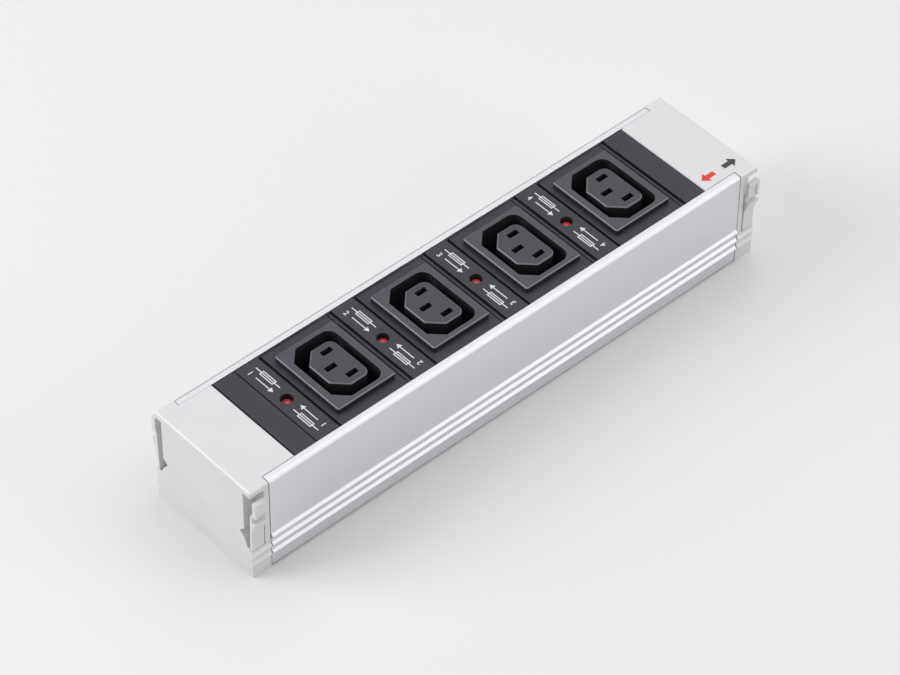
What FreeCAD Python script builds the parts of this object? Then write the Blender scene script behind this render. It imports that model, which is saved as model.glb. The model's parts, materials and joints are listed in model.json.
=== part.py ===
import FreeCAD, Part
import math
import os

# Rack socket module. Millimetres, +X along the bar, +Z out of the socket face,
# origin at the middle of the underside. Left is -X, right is +X, front is -Y.

# Bar: the lengths of the fascia pieces add up to the overall length
socket_count = 4
outlet_pitch = 45.5
fuse_strip_length = 10.8
blank_length = 10.0
plate_length = 24.0

# Aluminium profile
body_width = 53.0
wall = 2.2
base_z = 0.8
rail_top_z = 44.4
rail_width = 3.5
rail_depth = 2.0
rail_edge_radius = 1.5
groove_height = 2.2
ledge_width = 4.2
ledge_depth = 2.0
web_z = 13.5
web_thickness = 2.0
rib_heights = (7.5, 11.7, 16.0)
rib_width = 2.0
rib_proud = 0.9
rib_slope = 1.0
rib_under = 0.5
peg_radius = 1.6
peg_wall = 1.2

# Moulded end caps
cap_depth = 8.5
cap_end_wall = 2.4
cap_side_wall = 1.7
cap_floor = 2.2
cap_frame = 2.3
plate_thickness = 2.5
plate_proud = 0.1
plate_edge_radius = 1.0
plate_end_bevel = 0.6
foot_height = 14.4
foot_proud = 0.1
peg_length = 12.0

# Latch arms: reaches are outwards from the profile's side, heights up from the base
arm_thickness = 1.2
arm_slot = 0.6
arm_end_inset = 0.2
arm_lean_z = 18.3
arm_lean = 0.4
nose_z = 29.6
nose_tip = 0.5
nose_reach = 2.2
nose_lead = 5.6
tab_bottom_z = 32.4
tab_top_z = 39.6
tab_bottom_reach = 2.3
tab_top_reach = 2.4
tab_end_inset = 0.5
tab_depth = 2.0
tab_rim = 1.2
tab_pad_depth = 0.6
pocket_depth = 4.0
pocket_base_gap = 1.2
notch_depth = 2.4
notch_half_height = 2.6
notch_z = 20.7

# Fascia
fascia_drop = 0.2
socket_recess = 0.9
seat_rebate = 1.2
seat_rebate_depth = 1.2
seat_lip = 1.3
seat_groove = 0.4
seat_groove_depth = 0.6
strip_gap = 0.5

# Outlets: the contact block, the groove round it and the frame outside
core_x = 15.0
core_y = 22.0
core_chamfer = 5.5
core_radius = 3.2
core_bevel = 0.4
core_proud = 0.1
core_foot = 2.0
core_foot_rim = 3.0
groove_x = 3.2
groove_y = 4.5
groove_chamfer = 5.2
groove_radius = 4.4
socket_depth = 16.5
frame_wall = 0.8
frame_floor = 2.0
bezel_x = 27.2
bezel_y = 35.0
bezel_proud = 1.5
bezel_bevel = 0.35
bezel_corner = 0.5
lug_length = 6.0
lug_height = 2.6
lug_proud = 0.9
pin_spacing = 14.0
earth_offset = 4.0
slot_x = 5.0
slot_y = 2.4
slot_roof = 2.5
chamber_x = 6.4
chamber_y = 4.4

# Contacts and busbars
contact_strip = 0.5
contact_length = 4.8
contact_throat = 1.6
contact_throat_drop = 3.5
contact_base_rise = 1.0
contact_tab = 0.8
bus_thickness = 1.0
bus_drop = 1.5
bus_end = 3.0
blade_entry = 4.0
feed_margin = 6.25
tray_floor = 1.5
tray_rib = 1.2
tray_rib_height = 2.4
bond_outlet = 2
bond_screw_radius = 2.0
bond_head_radius = 3.8
bond_head_height = 2.6
bond_foot = 9.0

# Thermal breakers and their reset buttons
breaker_x = 9.4
breaker_back_wall = 1.3
breaker_front_y = -5.8
breaker_height = 15.0
breaker_roof = 1.6
hole_radius = 2.5
button_radius = 2.2
button_drop = 1.6
collar_radius = 2.9
collar_thickness = 1.2
button_travel_up = 2.0
button_travel_down = 0.8
spring_wire = 0.5
spring_radius = 2.3
spring_turns = 3
spring_sides = 12
spring_length = 5.0

# Plug under the web
plug_x = 18.0
plug_side_gap = 4.3
plug_wall = 1.6
plug_cavity = 8.0
plug_base_gap = 0.4
plug_ear = 8.0
plug_ear_width = 12.0
plug_ear_thickness = 2.0
plug_collar_x = 9.6
plug_collar_step = 2.2
plug_blade_x = 6.0
plug_blade_inset = 2.4
plug_screw_radius = 1.5
plug_head_radius = 2.8
plug_head_height = 2.0

# Clearances
slide_gap = 0.2
end_gap = 0.4
fit_gap = 0.1
pivot_gap = 0.05
run_gap = 0.5
match_tolerance = 0.01

# Places that follow from the sizes above
length = socket_count * outlet_pitch + 2 * (blank_length + plate_length)
half_length = length / 2
half_width = body_width / 2
profile_end_x = half_length - cap_depth - end_gap
inner_y = half_width - wall
rail_inner_y = half_width - rail_width
ledge_y = half_width - ledge_width
groove_top_z = rail_top_z - rail_depth
ledge_top_z = groove_top_z - groove_height
web_top_z = web_z + web_thickness
plate_top_z = rail_top_z + plate_proud
plate_under_z = plate_top_z - plate_thickness
arm_pivot_reach = foot_proud - arm_thickness / 2
clear_reach = 2 * tab_top_reach
fascia_z = rail_top_z - fascia_drop
seat_z = fascia_z - socket_recess
bezel_top_z = rail_top_z + bezel_proud
socket_floor_z = bezel_top_z - socket_depth
frame_under_z = socket_floor_z - frame_floor
core_top_z = bezel_top_z + core_proud
core_under_z = frame_under_z - core_foot
frame_x = core_x + 2 * (groove_x + frame_wall)
frame_y = core_y + 2 * (groove_y + frame_wall)
live_y = pin_spacing / 2
tray_top_z = web_top_z + tray_floor
bus_top_z = core_under_z - bus_drop
tab_end_z = tray_top_z + tray_rib_height + run_gap
neutral_bus_y = -live_y + contact_tab / 2
earth_bus_y = contact_tab / 2
link_y = live_y + contact_tab / 2
bond_y = earth_bus_y + bus_thickness + bond_head_radius + run_gap
bond_x = outlet_pitch * (bond_outlet + 1 - socket_count / 2) - bond_foot / 2 - bus_end
bond_foot_end_y = 2 * bond_y - earth_bus_y - bus_thickness
breaker_under_z = ledge_top_z - breaker_height
button_top_z = fascia_z - button_drop
chamber_roof_z = ledge_top_z - breaker_roof
collar_top_z = chamber_roof_z - button_travel_up - run_gap
collar_under_z = collar_top_z - collar_thickness
spring_base_z = collar_under_z - spring_length
peg_boss_radius = peg_radius + fit_gap + peg_wall
peg_y = inner_y - peg_boss_radius / 2
peg_z = web_top_z + peg_boss_radius / 2
tray_half_y = peg_y - peg_boss_radius - slide_gap
feed_y = tray_half_y - feed_margin
breaker_back_y = feed_y + bus_thickness + breaker_back_wall
plug_y = 2 * (inner_y - plug_side_gap)
plug_collar_y = plug_y - 2 * plug_collar_step
plug_screw_x = (plug_x + plug_ear) / 2


def outlet_start(index):
    return outlet_pitch * (index - socket_count / 2)


def fuse_centre(index):
    return outlet_start(index) + fuse_strip_length / 2


def socket_centre(index):
    return outlet_start(index) + (fuse_strip_length + outlet_pitch) / 2


def pin_places(index):
    """Live, earth and neutral pin centres of one outlet, as (x, y)."""
    line_x = socket_centre(index) + earth_offset / 2
    return [(line_x, live_y), (line_x - earth_offset, 0), (line_x, -live_y)]


def vector(x, y, z):
    return FreeCAD.Vector(x, y, z)


def block(x_low, x_high, y_low, y_high, z_low, z_high):
    corner = vector(x_low, y_low, z_low)
    return Part.makeBox(x_high - x_low, y_high - y_low, z_high - z_low, corner)


def centred_block(x, y, x_size, y_size, z_low, z_high):
    return block(x - x_size / 2, x + x_size / 2, y - y_size / 2, y + y_size / 2, z_low, z_high)


def rod(radius, x, y, z_low, z_high):
    return Part.makeCylinder(radius, z_high - z_low, vector(x, y, z_low))


def bar_rod(radius, y, z, x_low, x_high):
    """A round rod that lies along the bar."""
    return Part.makeCylinder(radius, x_high - x_low, vector(x_low, y, z), vector(1, 0, 0))


def along_bar(section, x_low, x_high):
    """Sweep a closed outline of (y, z) points along the bar."""
    points = [vector(x_low, y, z) for y, z in section]
    face = Part.Face(Part.makePolygon(points + points[:1]))
    return face.extrude(vector(x_high - x_low, 0, 0))


def across_bar(section, y_low, y_high):
    """Sweep a closed outline of (x, z) points across the bar."""
    points = [vector(x, y_low, z) for x, z in section]
    face = Part.Face(Part.makePolygon(points + points[:1]))
    return face.extrude(vector(0, y_high - y_low, 0))


def both_sides(half):
    """Close a half outline, listed from the top downwards, over the middle plane."""
    return half + [(-y, z) for y, z in reversed(half)]


def edges_near(shape, chosen):
    """The edges whose two ends both pass the test."""
    return [edge for edge in shape.Edges if all(chosen(vertex.Point) for vertex in edge.Vertexes)]


def close(value, target):
    return abs(value - target) < match_tolerance


def rib_points(height, y_face, proud):
    """One rib, from its top edge to its bottom edge: a long slope above and a short one below."""
    top_z = height + rib_width / 2
    bottom_z = height - rib_width / 2
    return [(y_face, top_z), (y_face + proud, top_z - rib_slope),
            (y_face + proud, bottom_z + rib_under), (y_face, bottom_z)]


def channel_section(top_z):
    """What slides between the rails, with edges that run in the profile's grooves."""
    shoulder_z = groove_top_z - slide_gap
    return both_sides([(rail_inner_y - slide_gap, top_z), (rail_inner_y - slide_gap, shoulder_z),
                       (inner_y - slide_gap, shoulder_z), (inner_y - slide_gap, ledge_top_z)])


def housing_profile():
    """Extruded aluminium: ribbed walls, rails, fascia grooves, a web and peg channels."""
    half = [(inner_y, web_top_z), (inner_y, ledge_top_z - ledge_depth),
            (ledge_y, ledge_top_z - ledge_depth), (ledge_y, ledge_top_z),
            (inner_y, ledge_top_z), (inner_y, groove_top_z),
            (rail_inner_y, groove_top_z), (rail_inner_y, rail_top_z), (half_width, rail_top_z)]
    for height in reversed(rib_heights):
        half += rib_points(height, half_width, rib_proud)
    half += [(half_width, base_z), (inner_y, base_z), (inner_y, web_z)]
    profile = along_bar(both_sides(half), -profile_end_x, profile_end_x)
    rail_edges = edges_near(profile, lambda p: close(abs(p.y), half_width) and close(p.z, rail_top_z))
    profile = profile.makeFillet(rail_edge_radius, rail_edges)
    for side in (-1, 1):
        boss = bar_rod(peg_boss_radius, side * peg_y, peg_z, -profile_end_x, profile_end_x)
        bore = bar_rod(peg_radius + fit_gap, side * peg_y, peg_z, -profile_end_x, profile_end_x)
        profile = profile.fuse(boss).cut(bore)
    collar_hole = centred_block(0, 0, plug_collar_x + 2 * slide_gap, plug_collar_y + 2 * slide_gap,
                                web_z, web_top_z)
    bond_hole = rod(bond_screw_radius + pivot_gap, bond_x, bond_y, web_z, web_top_z)
    profile = profile.cut(collar_hole).cut(bond_hole)
    for side in (-1, 1):
        profile = profile.cut(rod(plug_screw_radius + pivot_gap, side * plug_screw_x, 0, web_z, web_top_z))
    return profile.removeSplitter()


def side_points(side, points):
    """Turn (reach, z) points beside the profile into (y, z) points on one side of it."""
    return [(side * (half_width + reach), z) for reach, z in points]


def latch_pocket(side):
    """The space behind a latch arm, with a notch in its inner wall."""
    pocket_under = foot_proud - arm_thickness - pocket_base_gap
    section = [(clear_reach, foot_height), (pocket_under, foot_height),
               (-pocket_depth, notch_z - notch_half_height), (-pocket_depth - notch_depth, notch_z),
               (-pocket_depth, notch_z + notch_half_height), (-pocket_depth, plate_under_z),
               (clear_reach, plate_under_z)]
    x_high = -half_length + cap_depth - cap_frame
    pocket = along_bar(side_points(side, section), -half_length, x_high)
    seat = bar_rod(arm_thickness / 2 + pivot_gap, side * (half_width + arm_pivot_reach), foot_height,
                   -half_length, x_high)
    return pocket.fuse(seat)


def cap_foot(x_high):
    """The proud lower block, whose ribs carry on the two lower ribs of the profile."""
    face = half_width + foot_proud
    half = [(face, foot_height)]
    for height in reversed(rib_heights):
        if height + rib_width / 2 < foot_height:
            half += rib_points(height, face, rib_proud - foot_proud)
    half += [(face, 0)]
    return along_bar(both_sides(half), -half_length, x_high)


def end_cap():
    """Moulded cap for the left end: end wall, foot, latch pockets, top plate and pegs."""
    x_end = -half_length
    x_face = x_end + cap_depth
    x_frame = x_face - cap_frame
    x_tongue = x_end + plate_length - strip_gap / 2
    cap = block(x_end, x_face, -half_width, half_width, foot_height, plate_top_z)
    outer_edges = edges_near(cap, lambda p: close(p.z, plate_top_z))
    outer_edges = [edge for edge in outer_edges if not close(edge.CenterOfMass.x, x_face)]
    cap = cap.makeFillet(plate_edge_radius, outer_edges).fuse(cap_foot(x_face))
    for side in (-1, 1):
        cap = cap.cut(latch_pocket(side))
    cavity_y = half_width - pocket_depth - notch_depth - cap_side_wall
    cap = cap.cut(block(x_end + cap_end_wall, x_face, -cavity_y, cavity_y, cap_floor, plate_under_z))
    tongue = along_bar(channel_section(plate_top_z), x_frame, x_tongue)
    end_edge = edges_near(tongue, lambda p: close(p.x, x_tongue) and close(p.z, plate_top_z))
    tongue = tongue.makeChamfer(plate_end_bevel, end_edge)
    hollow_y = ledge_y - cap_side_wall
    tongue = tongue.cut(block(x_frame, x_tongue - cap_side_wall, -hollow_y, hollow_y,
                              ledge_top_z, plate_under_z))
    cap = cap.fuse(tongue)
    for side in (-1, 1):
        cap = cap.fuse(bar_rod(peg_radius, side * peg_y, peg_z, x_frame, x_face + peg_length))
    return cap.removeSplitter()


def arm_reach(z):
    """Outer face of the leaning leaf at a height above the root."""
    lean = arm_lean * (z - arm_lean_z) / (tab_bottom_z - arm_lean_z)
    return foot_proud + max(lean, 0)


def latch_arm(side):
    """Springy leaf of the left cap: round root, catch nose and a rimmed finger tab further out."""
    x_low = -half_length + arm_end_inset
    x_high = -half_length + cap_depth - cap_frame - arm_slot
    x_tab = -half_length + tab_end_inset
    lead_z = nose_z - nose_lead
    neck = arm_reach(tab_bottom_z)
    leaf = [(foot_proud, foot_height), (foot_proud, arm_lean_z), (arm_reach(lead_z), lead_z),
            (nose_reach, nose_z - nose_tip), (nose_reach, nose_z), (arm_reach(nose_z), nose_z),
            (neck, tab_bottom_z), (neck - arm_thickness, tab_bottom_z),
            (foot_proud - arm_thickness, arm_lean_z), (foot_proud - arm_thickness, foot_height)]
    tab_inner = tab_top_reach - tab_depth
    tab = [(neck - arm_thickness, tab_bottom_z), (tab_bottom_reach, tab_bottom_z),
           (tab_top_reach, tab_top_z), (tab_inner, tab_top_z), (tab_inner, tab_bottom_z + tab_depth)]
    pad_top_z = tab_top_z - tab_rim
    pad = [(tab_bottom_reach - tab_pad_depth, tab_bottom_z), (tab_top_reach - tab_pad_depth, pad_top_z),
           (clear_reach, pad_top_z), (clear_reach, tab_bottom_z)]
    root = bar_rod(arm_thickness / 2, side * (half_width + arm_pivot_reach), foot_height, x_low, x_high)
    arm = along_bar(side_points(side, leaf), x_low, x_high).fuse(root)
    arm = arm.fuse(along_bar(side_points(side, tab), x_tab, x_high))
    arm = arm.cut(along_bar(side_points(side, pad), x_tab + tab_rim, x_high))
    return arm.removeSplitter()


def turned_round(shape):
    """The same moulding at the other end of the bar."""
    other = shape.copy()
    other.rotate(vector(0, 0, 0), vector(0, 0, 1), 180)
    return other


def fuse_strip(index):
    """Fascia strip beside one outlet, with the hole over its reset button."""
    x_low = outlet_start(index) + strip_gap / 2
    x_high = outlet_start(index) + fuse_strip_length - strip_gap / 2
    strip = along_bar(channel_section(fascia_z), x_low, x_high)
    return strip.cut(rod(hole_radius, fuse_centre(index), 0, ledge_top_z, fascia_z))


def outlet_seat(index):
    """Lower fascia piece round one outlet's opening, with a rebate and a lip at its two ends."""
    x_low = outlet_start(index) + fuse_strip_length + strip_gap / 2
    x_high = outlet_start(index + 1) - strip_gap / 2
    seat = along_bar(channel_section(seat_z), x_low, x_high)
    seat = seat.cut(block(x_high - seat_lip - seat_groove, x_high - seat_lip, -half_width, half_width,
                          seat_z - seat_groove_depth, seat_z))
    seat = seat.cut(block(x_low, x_low + seat_rebate, -half_width, half_width,
                          seat_z - seat_rebate_depth, seat_z))
    opening = centred_block(socket_centre(index), 0, frame_x + 2 * fit_gap, frame_y + 2 * fit_gap,
                            ledge_top_z, seat_z)
    return seat.cut(opening)


def blank_strip():
    """Plain fascia strip beside the left cap."""
    x_low = outlet_start(0) - blank_length + strip_gap / 2
    return along_bar(channel_section(fascia_z), x_low, outlet_start(0) - strip_gap / 2)


def socket_outline(index, half_x, half_y, cut, radius, z):
    """Outlet shape: two cut corners on the earth side and two round ones on the other."""
    diagonal = radius * (1 - math.sqrt(0.5))
    centre = vector(socket_centre(index), 0, z)

    def at(x, y):
        return centre + vector(x, y, 0)

    def line(start, end):
        return Part.LineSegment(at(*start), at(*end)).toShape()

    def corner(side):
        ends = [(half_x - radius, side * half_y), (half_x, side * (half_y - radius))]
        middle = (half_x - diagonal, side * (half_y - diagonal))
        return Part.Arc(at(*ends[0]), at(*middle), at(*ends[1])).toShape()

    edges = [line((-half_x, cut - half_y), (-half_x, half_y - cut)),
             line((-half_x, half_y - cut), (cut - half_x, half_y)),
             line((cut - half_x, half_y), (half_x - radius, half_y)), corner(1),
             line((half_x, half_y - radius), (half_x, radius - half_y)), corner(-1),
             line((half_x - radius, -half_y), (cut - half_x, -half_y)),
             line((cut - half_x, -half_y), (-half_x, cut - half_y))]
    return Part.Wire(Part.__sortEdges__(edges))


def core_prism(index, margin, z_low, z_high):
    """The contact block's shape with an even margin round it."""
    cut = core_chamfer + margin * (2 - math.sqrt(2))
    outline = socket_outline(index, core_x / 2 + margin, core_y / 2 + margin, cut, core_radius + margin, z_low)
    return Part.Face(outline).extrude(vector(0, 0, z_high - z_low))


def groove_prism(index, z_low, z_high):
    """The space that a connector's shroud fills, with the contact block still in it."""
    outline = socket_outline(index, core_x / 2 + groove_x, core_y / 2 + groove_y,
                             groove_chamfer, groove_radius, z_low)
    return Part.Face(outline).extrude(vector(0, 0, z_high - z_low))


def outlet_frame(index):
    """Bezel and outer wall of one outlet, with snap lugs under its seat."""
    x = socket_centre(index)
    bezel = centred_block(x, 0, bezel_x, bezel_y, seat_z, bezel_top_z)
    corners = [edge for edge in bezel.Edges if close(edge.BoundBox.ZLength, bezel_top_z - seat_z)]
    bezel = bezel.makeChamfer(bezel_corner, corners)
    bezel = bezel.makeChamfer(bezel_bevel, edges_near(bezel, lambda p: close(p.z, bezel_top_z)))
    frame = bezel.fuse(centred_block(x, 0, frame_x, frame_y, frame_under_z, seat_z))
    lug_top_z = ledge_top_z - fit_gap
    for side in (-1, 1):
        lug = [(side * frame_y / 2, lug_top_z), (side * (frame_y / 2 + lug_proud), lug_top_z),
               (side * frame_y / 2, lug_top_z - lug_height)]
        frame = frame.fuse(along_bar(lug, x - lug_length / 2, x + lug_length / 2))
    frame = frame.cut(groove_prism(index, socket_floor_z, bezel_top_z))
    frame = frame.cut(core_prism(index, fit_gap, frame_under_z, socket_floor_z))
    return frame.removeSplitter()


def outlet_core(index):
    """Contact block of one outlet: pin slots over chambers, on a foot under the frame."""
    core = core_prism(index, 0, frame_under_z, core_top_z)
    core = core.makeChamfer(core_bevel, edges_near(core, lambda p: close(p.z, core_top_z)))
    core = core.fuse(centred_block(socket_centre(index), 0, core_x + 2 * core_foot_rim,
                                   core_y + 2 * core_foot_rim, core_under_z, frame_under_z))
    for x, y in pin_places(index):
        core = core.cut(centred_block(x, y, slot_x, slot_y, core_under_z, core_top_z))
        core = core.cut(centred_block(x, y, chamber_x, chamber_y, core_under_z, core_top_z - slot_roof))
    return core.removeSplitter()


def outlet_contacts(index):
    """Three folded spring clips, each with a flat tab down to its busbar."""
    top_z = core_top_z - slot_roof - run_gap
    throat_z = top_z - contact_throat_drop
    clip_base_z = core_under_z + contact_base_rise
    spread = chamber_y / 2 - fit_gap
    throat = contact_throat / 2
    half = [(spread - contact_strip, top_z), (throat, throat_z),
            (spread - contact_strip, clip_base_z + contact_strip)]
    outer = [(contact_tab / 2, tab_end_z), (contact_tab / 2, clip_base_z), (spread, clip_base_z),
             (throat + contact_strip, throat_z), (spread, top_z)]
    side = outer + half
    section = side + [(-y, z) for y, z in reversed(side)]
    clips = []
    for x, y in pin_places(index):
        moved = [(y + offset, z) for offset, z in section]
        clips.append(along_bar(moved, x - contact_length / 2, x + contact_length / 2))
    return Part.makeCompound(clips)


def bus_strip(x_low, x_high, y):
    return block(x_low, x_high, y, y + bus_thickness, tray_top_z, bus_top_z)


def breaker_blade(index, y):
    """Upright blade from a busbar into the underside of one breaker."""
    x = fuse_centre(index)
    return block(x - contact_length / 2, x + contact_length / 2, y, y + bus_thickness,
                 bus_top_z, breaker_under_z + blade_entry)


def pin_bus(pin, y):
    """Strip that joins one pin of all the outlets."""
    reach = contact_length / 2 + bus_end
    x_low = pin_places(0)[pin][0] - reach
    x_high = pin_places(socket_count - 1)[pin][0] + reach
    return bus_strip(x_low, x_high, y)


def live_bus():
    """Feed strip with a blade up to each breaker."""
    reach = contact_length / 2 + bus_end
    bus = bus_strip(fuse_centre(0) - reach, fuse_centre(socket_count - 1) + reach, feed_y)
    for index in range(socket_count):
        bus = bus.fuse(breaker_blade(index, feed_y))
    return bus.removeSplitter()


def breaker_link(index):
    """Strip from one breaker to the live contact beside it."""
    x_low = fuse_centre(index) - contact_length / 2
    x_high = pin_places(index)[0][0] + contact_length / 2
    return bus_strip(x_low, x_high, link_y).fuse(breaker_blade(index, link_y)).removeSplitter()


def earth_bus():
    """Earth strip with a foot that is screwed to the bare web."""
    x_low = bond_x - bond_foot / 2
    x_high = bond_x + bond_foot / 2
    leg = block(x_low, x_high, earth_bus_y, earth_bus_y + bus_thickness, web_top_z, tray_top_z)
    foot = block(x_low, x_high, earth_bus_y, bond_foot_end_y, web_top_z, web_top_z + bus_thickness)
    hole = rod(bond_screw_radius + fit_gap, bond_x, bond_y, web_top_z, web_top_z + bus_thickness)
    return pin_bus(1, earth_bus_y).fuse(leg).fuse(foot).cut(hole).removeSplitter()


def bus_tray():
    """Insulating tray on the web, with a pair of ribs that holds each strip upright."""
    half_x = half_length - plate_length
    tray = block(-half_x, half_x, -tray_half_y, tray_half_y, web_top_z, tray_top_z)
    for y in (neutral_bus_y, earth_bus_y, link_y, feed_y):
        for rib_y in (y - fit_gap - tray_rib, y + bus_thickness + fit_gap):
            rib = block(-half_x, half_x, rib_y, rib_y + tray_rib, tray_top_z, tray_top_z + tray_rib_height)
            tray = tray.fuse(rib)
    high_z = tray_top_z + tray_rib_height
    window = centred_block(0, 0, plug_collar_x + 2 * slide_gap, plug_collar_y + 2 * slide_gap,
                           web_top_z, high_z)
    bond_window = block(bond_x - bond_foot / 2 - slide_gap, bond_x + bond_foot / 2 + slide_gap,
                        earth_bus_y - slide_gap, bond_foot_end_y + slide_gap, web_top_z, high_z)
    return tray.cut(window).cut(bond_window).removeSplitter()


def bond_screw():
    """Pan-head screw that bonds the earth strip to the profile."""
    head_z = web_top_z + bus_thickness
    head = rod(bond_head_radius, bond_x, bond_y, head_z, head_z + bond_head_height)
    return head.fuse(rod(bond_screw_radius, bond_x, bond_y, web_z, head_z)).removeSplitter()


def breaker_body(index):
    """Breaker case under the fuse strip, with a chamber for the button and its spring."""
    x = fuse_centre(index)
    case = block(x - breaker_x / 2, x + breaker_x / 2, breaker_front_y, breaker_back_y,
                 breaker_under_z, ledge_top_z)
    case = case.cut(rod(button_radius + fit_gap, x, 0, chamber_roof_z, ledge_top_z))
    chamber = 2 * (collar_radius + run_gap)
    case = case.cut(centred_block(x, 0, chamber, chamber, spring_base_z, chamber_roof_z))
    for y in (link_y, feed_y):
        case = case.cut(centred_block(x, y + bus_thickness / 2, contact_length + 2 * fit_gap,
                                      bus_thickness + 2 * fit_gap,
                                      breaker_under_z, breaker_under_z + blade_entry + fit_gap))
    return case


def reset_button(index):
    """Red button on a collar that stops it under the breaker's roof."""
    x = fuse_centre(index)
    collar = rod(collar_radius, x, 0, collar_under_z, collar_top_z)
    return collar.fuse(rod(button_radius, x, 0, collar_top_z, button_top_z)).removeSplitter()


def button_spring(index):
    """Square-wire return spring between the chamber floor and the button's collar."""
    steps = spring_turns * spring_sides
    rise = (spring_length - spring_wire - 2 * fit_gap) / steps
    low_z = spring_base_z + spring_wire / 2 + fit_gap
    points = []
    for step in range(steps + 1):
        angle = 2 * math.pi * step / spring_sides
        x = fuse_centre(index) + spring_radius * math.cos(angle)
        points.append(vector(x, spring_radius * math.sin(angle), low_z + rise * step))
    half = spring_wire / 2
    corners = [points[0] + vector(reach, 0, height)
               for reach, height in ((-half, -half), (half, -half), (half, half), (-half, half))]
    section = Part.makePolygon(corners + corners[:1])
    return Part.Wire(Part.makePolygon(points)).makePipeShell([section], True, True, 1)


def plug_blade_places():
    """Inner faces, across the bar, of the neutral, earth and live blades."""
    return [y + bus_thickness for y in (neutral_bus_y, earth_bus_y, feed_y)]


def plug_housing():
    """Plug shroud in the lower channel, screwed to the web, with a collar up to the busbars."""
    under_z = base_z + plug_base_gap
    plug = centred_block(0, 0, plug_x, plug_y, under_z, web_z)
    plug = plug.cut(centred_block(0, 0, plug_x - 2 * plug_wall, plug_y - 2 * plug_wall,
                                  under_z, under_z + plug_cavity))
    plug = plug.fuse(centred_block(0, 0, plug_x + 2 * plug_ear, plug_ear_width,
                                   web_z - plug_ear_thickness, web_z))
    plug = plug.fuse(centred_block(0, 0, plug_collar_x, plug_collar_y, web_z, tray_top_z))
    for y in plug_blade_places():
        plug = plug.cut(centred_block(0, y + bus_thickness / 2, plug_blade_x + 2 * fit_gap,
                                      bus_thickness + 2 * fit_gap, under_z + plug_cavity, tray_top_z))
    for side in (-1, 1):
        plug = plug.cut(rod(plug_screw_radius + fit_gap, side * plug_screw_x, 0,
                            web_z - plug_ear_thickness, web_z))
    return plug.removeSplitter()


def plug_blades():
    """Flat blades that reach from the plug's mouth up to the busbars."""
    low_z = base_z + plug_blade_inset
    blades = [block(-plug_blade_x / 2, plug_blade_x / 2, y, y + bus_thickness, low_z, bus_top_z)
              for y in plug_blade_places()]
    return Part.makeCompound(blades)


def plug_screws():
    """Two pan-head screws through the plug's ears into the web."""
    seat = web_z - plug_ear_thickness
    screws = []
    for side in (-1, 1):
        x = side * plug_screw_x
        head = rod(plug_head_radius, x, 0, seat - plug_head_height, seat)
        screws.append(head.fuse(rod(plug_screw_radius, x, 0, seat, web_top_z)).removeSplitter())
    return Part.makeCompound(screws)


def all_nodes():
    cap = end_cap()
    arms = {"front": latch_arm(-1), "rear": latch_arm(1)}
    nodes = {
        "housing_profile": housing_profile(),
        "end_cap_left": cap,
        "end_cap_right": turned_round(cap),
        "latch_left_front": arms["front"],
        "latch_left_rear": arms["rear"],
        "latch_right_front": turned_round(arms["rear"]),
        "latch_right_rear": turned_round(arms["front"]),
        "blank_strip_left": blank_strip(),
        "blank_strip_right": turned_round(blank_strip()),
        "live_bus": live_bus(),
        "neutral_bus": pin_bus(2, neutral_bus_y),
        "earth_bus": earth_bus(),
        "bus_tray": bus_tray(),
        "earth_bond_screw": bond_screw(),
        "plug_housing": plug_housing(),
        "plug_blades": plug_blades(),
        "plug_screws": plug_screws(),
    }
    repeated = (fuse_strip, outlet_seat, outlet_frame, outlet_core, outlet_contacts, breaker_body,
                reset_button, button_spring, breaker_link)
    for make in repeated:
        for index in range(socket_count):
            nodes[f"{make.__name__}_{index + 1}"] = make(index)
    return nodes


os.makedirs("parts", exist_ok=True)
for name, shape in all_nodes().items():
    shape.exportStep(f"parts/{name}.step")
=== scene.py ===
import json
import math

import bmesh
import bpy
from mathutils import Matrix, Vector


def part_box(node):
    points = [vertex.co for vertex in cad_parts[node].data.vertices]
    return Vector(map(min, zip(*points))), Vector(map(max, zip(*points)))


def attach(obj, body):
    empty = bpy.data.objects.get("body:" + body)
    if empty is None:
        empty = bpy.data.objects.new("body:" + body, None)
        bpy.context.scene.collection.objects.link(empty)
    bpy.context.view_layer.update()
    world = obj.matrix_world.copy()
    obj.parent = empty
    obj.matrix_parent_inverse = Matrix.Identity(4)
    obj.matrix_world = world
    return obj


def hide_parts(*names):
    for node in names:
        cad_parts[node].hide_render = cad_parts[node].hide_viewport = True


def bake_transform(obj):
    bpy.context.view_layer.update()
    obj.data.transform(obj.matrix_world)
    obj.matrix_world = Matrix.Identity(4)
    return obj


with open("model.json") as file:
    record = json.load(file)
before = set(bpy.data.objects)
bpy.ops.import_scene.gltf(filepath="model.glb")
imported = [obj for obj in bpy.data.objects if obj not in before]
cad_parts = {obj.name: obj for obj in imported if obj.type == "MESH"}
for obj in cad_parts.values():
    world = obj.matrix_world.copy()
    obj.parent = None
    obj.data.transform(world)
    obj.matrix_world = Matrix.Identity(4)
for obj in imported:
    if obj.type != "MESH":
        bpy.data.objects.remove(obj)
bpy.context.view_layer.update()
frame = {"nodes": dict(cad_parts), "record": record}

# Rack socket module: looks, light and camera. Metres, in the frame's own axes.
MM = 0.001
OUTLETS = range(1, 5)
crease_angle = math.radians(40)

# Camera: turn about the bar, height angle, roll and distance,
# and how far the bar's middle is off the picture's centre
view_azimuth = math.radians(-42.393)
view_elevation = math.radians(45.861)
view_roll = math.radians(0.551)
view_distance = 1.42852
view_offset = (0.005246, -0.011732)
picture_width = 900
focal_pixels = 3813.95
sensor_width = 36.0

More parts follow.
